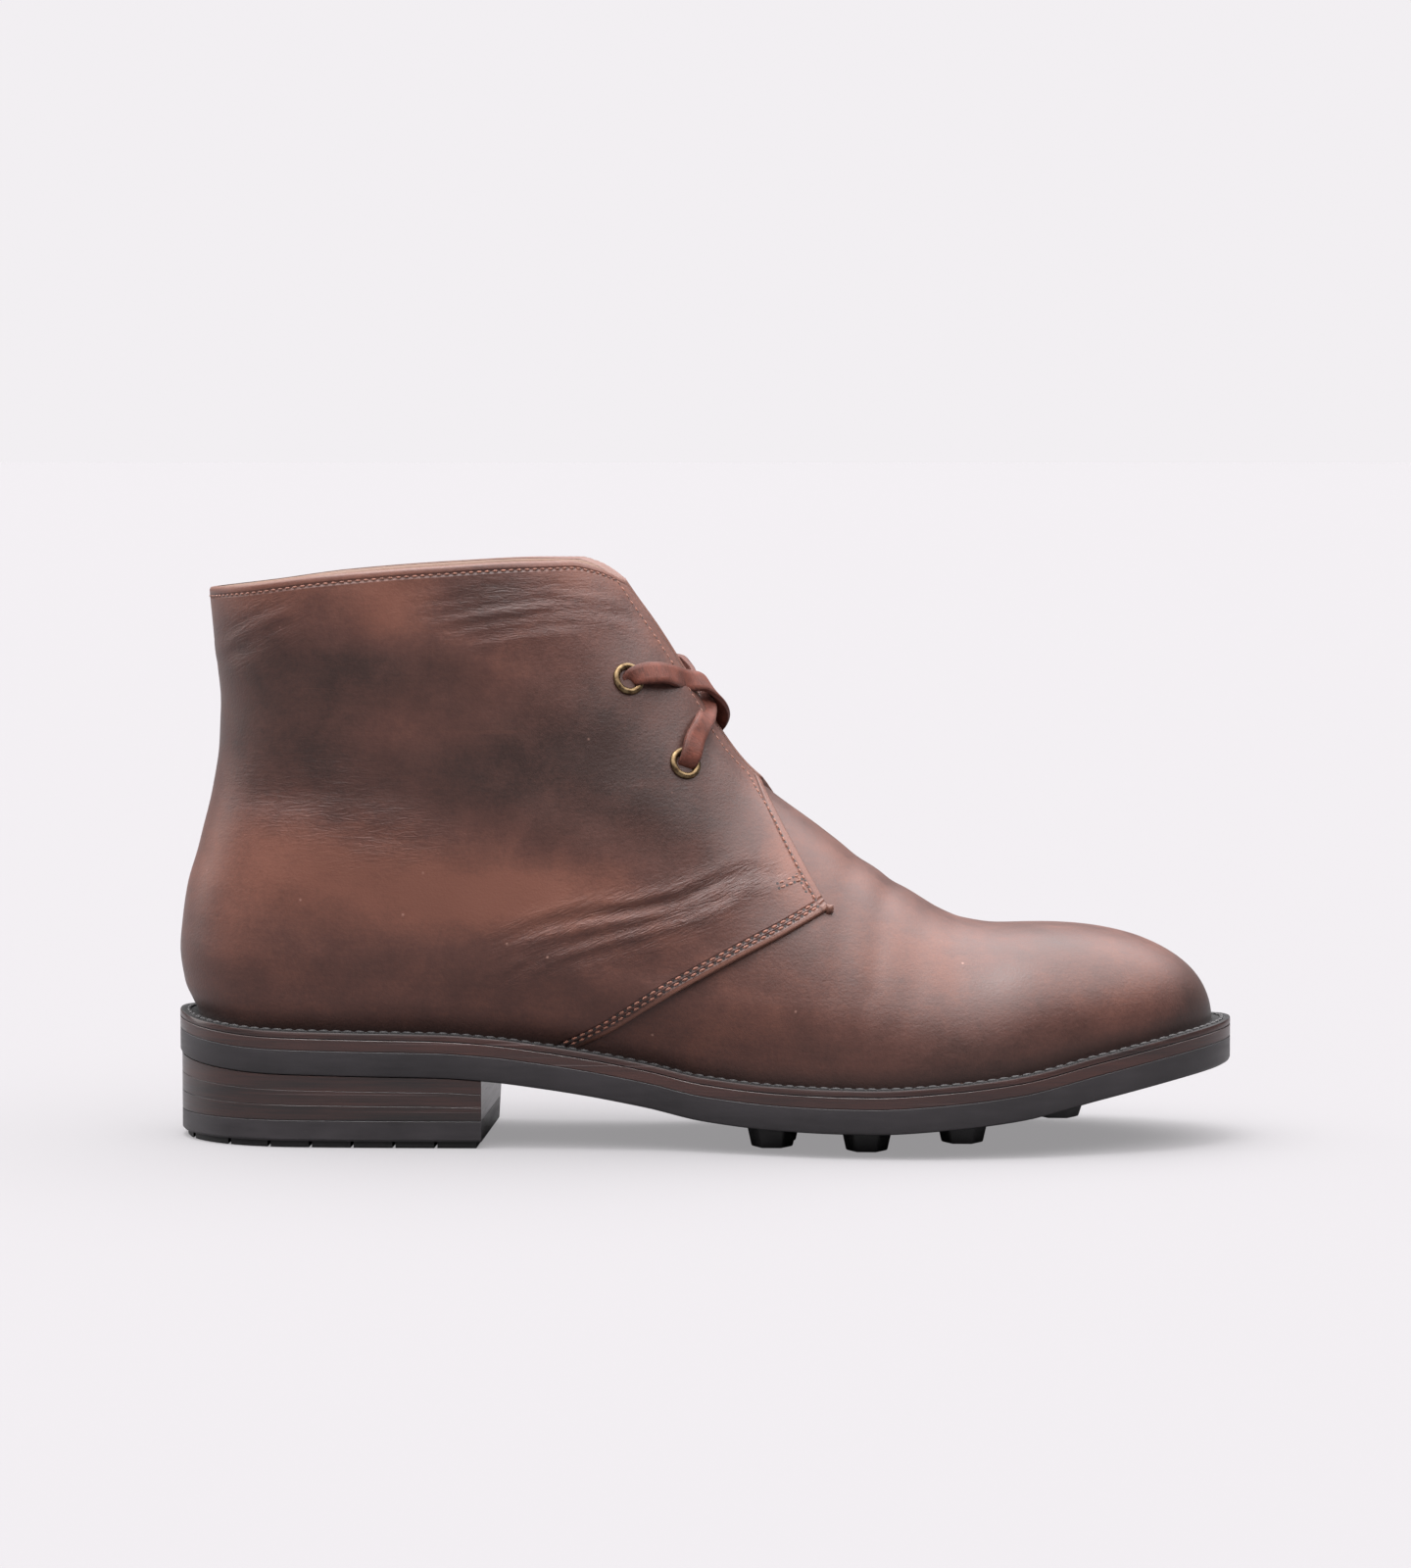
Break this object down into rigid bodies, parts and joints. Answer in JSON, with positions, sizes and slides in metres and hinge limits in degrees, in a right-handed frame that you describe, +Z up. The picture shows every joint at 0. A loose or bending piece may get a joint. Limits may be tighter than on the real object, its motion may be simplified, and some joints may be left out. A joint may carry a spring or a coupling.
{
  "type": "chukka boot",
  "caption": "Ankle-high leather chukka boot for the right foot with a studded rubber sole, a stacked heel and a flat lace through metal eyelets.",
  "frame": {"origin": "on the floor, at the bottom centre of the boot's box", "axes": "+Z up, +X towards the toe along the sole, +Y towards the inner side of the right foot"},
  "size_m": [0.3051, 0.1052, 0.1671],
  "materials": {
    "upper_leather": "oiled pull-up leather, mottled dark brown, satin",
    "tongue_leather": "oiled leather, satin",
    "insole_leather": "natural tan leather, matte",
    "welt_leather": "black waxed leather",
    "stack_leather": "stained and burnished leather edge",
    "sole_rubber": "matte dark grey rubber",
    "eyelet_brass": "antique brass",
    "lace_leather": "flat waxed leather strip"
  },
  "bodies": {
    "root": {"upper": "upper_leather", "tongue": "tongue_leather", "insole": "insole_leather", "welt": "welt_leather", "midsole": "stack_leather", "outsole": "sole_rubber", "heel_lift_1": "stack_leather", "heel_lift_2": "stack_leather", "heel_lift_3": "stack_leather", "heel_top_piece": "sole_rubber", "eyelet_outer_top": "eyelet_brass", "eyelet_inner_top": "eyelet_brass", "eyelet_outer_bottom": "eyelet_brass", "eyelet_inner_bottom": "eyelet_brass", "lace": "lace_leather"}
  },
  "joints": []
}
